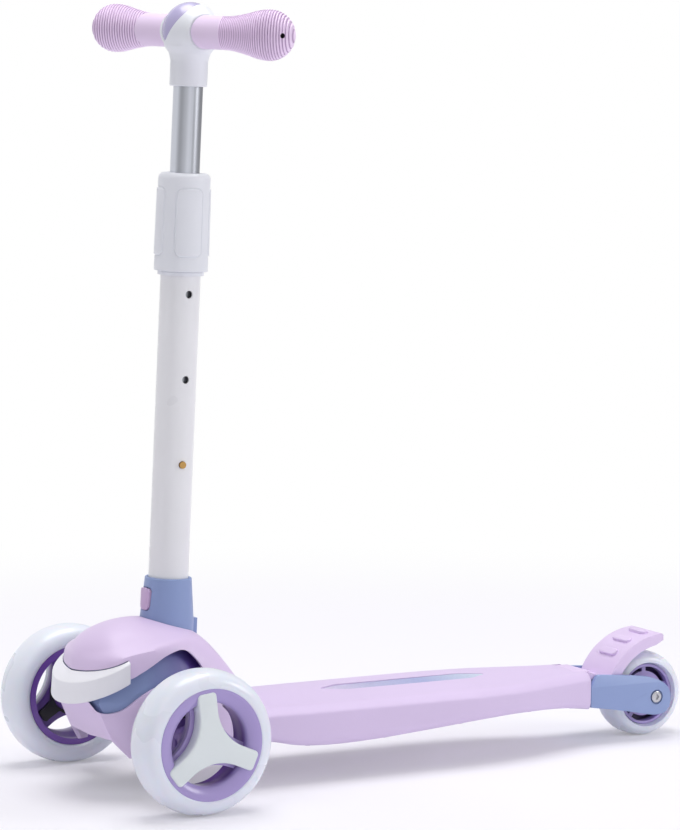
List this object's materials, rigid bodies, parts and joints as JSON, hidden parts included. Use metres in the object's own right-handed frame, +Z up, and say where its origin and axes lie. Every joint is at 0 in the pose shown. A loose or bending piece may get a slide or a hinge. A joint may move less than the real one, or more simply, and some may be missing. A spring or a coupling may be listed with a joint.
{
  "type": "three wheel kids scooter",
  "caption": "Kick scooter for small children: leaning steers the paired front wheels, a foot brake covers the rear wheel, and the T handle telescopes on a push-button column",
  "frame": {"origin": "on the ground, at the middle of the scooter's footprint", "axes": "+X to the rider's left, +Y to the rear, +Z up"},
  "size_m": [0.312, 0.6118, 0.6506],
  "materials": {
    "lilac_plastic": "satin",
    "blue_plastic": "satin",
    "purple_plastic": "gloss",
    "white_plastic": "satin",
    "grey_plastic": "satin",
    "black_plastic": "matte",
    "gradient_inlay": "satin",
    "white_tyre": "satin",
    "pink_rubber": "matte",
    "black_rubber": "matte",
    "white_paint": "satin",
    "satin_aluminium": "satin",
    "steel": "bright",
    "black_metal": "satin",
    "brass": "bright"
  },
  "bodies": {
    "deck": {"deck": "lilac_plastic", "deck_inlay": "gradient_inlay", "truck_body": "blue_plastic", "axle_beam": "black_metal", "kingpin_left": "steel", "kingpin_right": "steel", "lean_pivot_bolt": "steel", "rear_fork": "blue_plastic", "rear_axle_bolt": "steel", "rear_axle_nut": "steel", "brake_pin": "steel", "brake_spring": "steel", "lean_cushion_left": "black_rubber", "lean_cushion_right": "black_rubber"},
    "stem": {"top_cover": "lilac_plastic", "front_bumper": "white_plastic", "stem_socket": "blue_plastic", "stem_yoke": "black_metal", "latch_spring": "steel"},
    "release": {"release_button": "lilac_plastic"},
    "column": {"outer_tube": "white_paint", "tube_bush": "white_plastic"},
    "collar": {"clamp_collar": "white_plastic"},
    "handle": {"inner_tube": "satin_aluminium", "tube_plug": "black_rubber", "handle_head": "white_plastic", "head_insert": "purple_plastic", "cross_bar": "steel", "grip_left": "pink_rubber", "grip_right": "pink_rubber", "snap_spring": "steel"},
    "snap": {"snap_button": "brass"},
    "tie_rod": {"tie_rod": "steel"},
    "knuckle_left": {"knuckle_left": "black_metal", "axle_bolt_left": "steel"},
    "knuckle_right": {"knuckle_right": "black_metal", "axle_bolt_right": "steel"},
    "wheel_left": {"tyre_left": "white_tyre", "hub_left": "purple_plastic", "hub_cap_left": "grey_plastic", "hub_lamp_left": "black_plastic", "inner_bearing_left": "steel", "outer_bearing_left": "steel"},
    "wheel_right": {"tyre_right": "white_tyre", "hub_right": "purple_plastic", "hub_cap_right": "grey_plastic", "hub_lamp_right": "black_plastic", "inner_bearing_right": "steel", "outer_bearing_right": "steel"},
    "rear_wheel": {"rear_tyre": "white_tyre", "rear_hub": "purple_plastic", "rear_bearing_left": "steel", "rear_bearing_right": "steel"},
    "brake": {"brake_fender": "lilac_plastic"}
  },
  "joints": [
    {"name": "stem_lean", "type": "hinge", "parent": "deck", "child": "stem", "pos_m": [0, -0.20788, 0.092], "axis": [0, 1, 0], "range_deg": [-6, 6], "stiffness_Nm_per_rad": 60, "deforming": ["lean_cushion_left", "lean_cushion_right"]},
    {"name": "tie_rod_slide", "type": "slide", "parent": "deck", "child": "tie_rod", "axis": [1, 0, 0], "range_m": [-0.0035, 0.0035]},
    {"name": "steer_left", "type": "hinge", "parent": "deck", "child": "knuckle_left", "pos_m": [0.08198, -0.23788, 0.05962], "axis": [0, 0, 1], "range_deg": [-7.6, 7.6]},
    {"name": "steer_right", "type": "hinge", "parent": "deck", "child": "knuckle_right", "pos_m": [-0.08198, -0.23788, 0.05962], "axis": [0, 0, 1], "range_deg": [-7.6, 7.6]},
    {"name": "wheel_left_spin", "type": "hinge", "parent": "knuckle_left", "child": "wheel_left", "pos_m": [0.122, -0.23788, 0.05962], "axis": [1, 0, 0], "continuous": true},
    {"name": "wheel_right_spin", "type": "hinge", "parent": "knuckle_right", "child": "wheel_right", "pos_m": [-0.122, -0.23788, 0.05962], "axis": [1, 0, 0], "continuous": true},
    {"name": "rear_wheel_spin", "type": "hinge", "parent": "deck", "child": "rear_wheel", "pos_m": [0, 0.26812, 0.03776], "axis": [1, 0, 0], "continuous": true},
    {"name": "brake_press", "type": "hinge", "parent": "deck", "child": "brake", "pos_m": [0, 0.19112, 0.0575], "axis": [-1, 0, 0], "range_deg": [0, 5], "stiffness_Nm_per_rad": 2, "springref_deg": -8.59, "deforming": ["brake_spring"]},
    {"name": "column_release", "type": "slide", "parent": "stem", "child": "column", "axis": [0, 0.0408, 0.9992], "range_m": [0, 0.06], "deforming": ["latch_spring"]},
    {"name": "release_press", "type": "slide", "parent": "stem", "child": "release", "axis": [0, 0.9992, -0.0408], "range_m": [0, 0.0019], "stiffness_N_per_m": 600, "springref_m": -0.002, "deforming": ["latch_spring"]},
    {"name": "collar_twist", "type": "hinge", "parent": "column", "child": "collar", "pos_m": [0, -0.19289, 0.46961], "axis": [0, 0.0408, 0.9992], "range_deg": [0, 90]},
    {"name": "handle_height", "type": "slide", "parent": "column", "child": "handle", "axis": [0, 0.0408, 0.9992], "range_m": [0, 0.1412], "deforming": ["snap_button"]},
    {"name": "snap_press", "type": "slide", "parent": "handle", "child": "snap", "axis": [-1, 0, 0], "range_m": [0, 0.0036], "stiffness_N_per_m": 500, "springref_m": -0.002, "deforming": ["snap_spring"]}
  ],
  "couplings": [
    {"joint": "tie_rod_slide", "follows": "stem_lean", "m_per_rad": -0.032377},
    {"joint": "steer_left", "follows": "stem_lean", "ratio": 1.2453},
    {"joint": "steer_right", "follows": "stem_lean", "ratio": 1.2453}
  ]
}
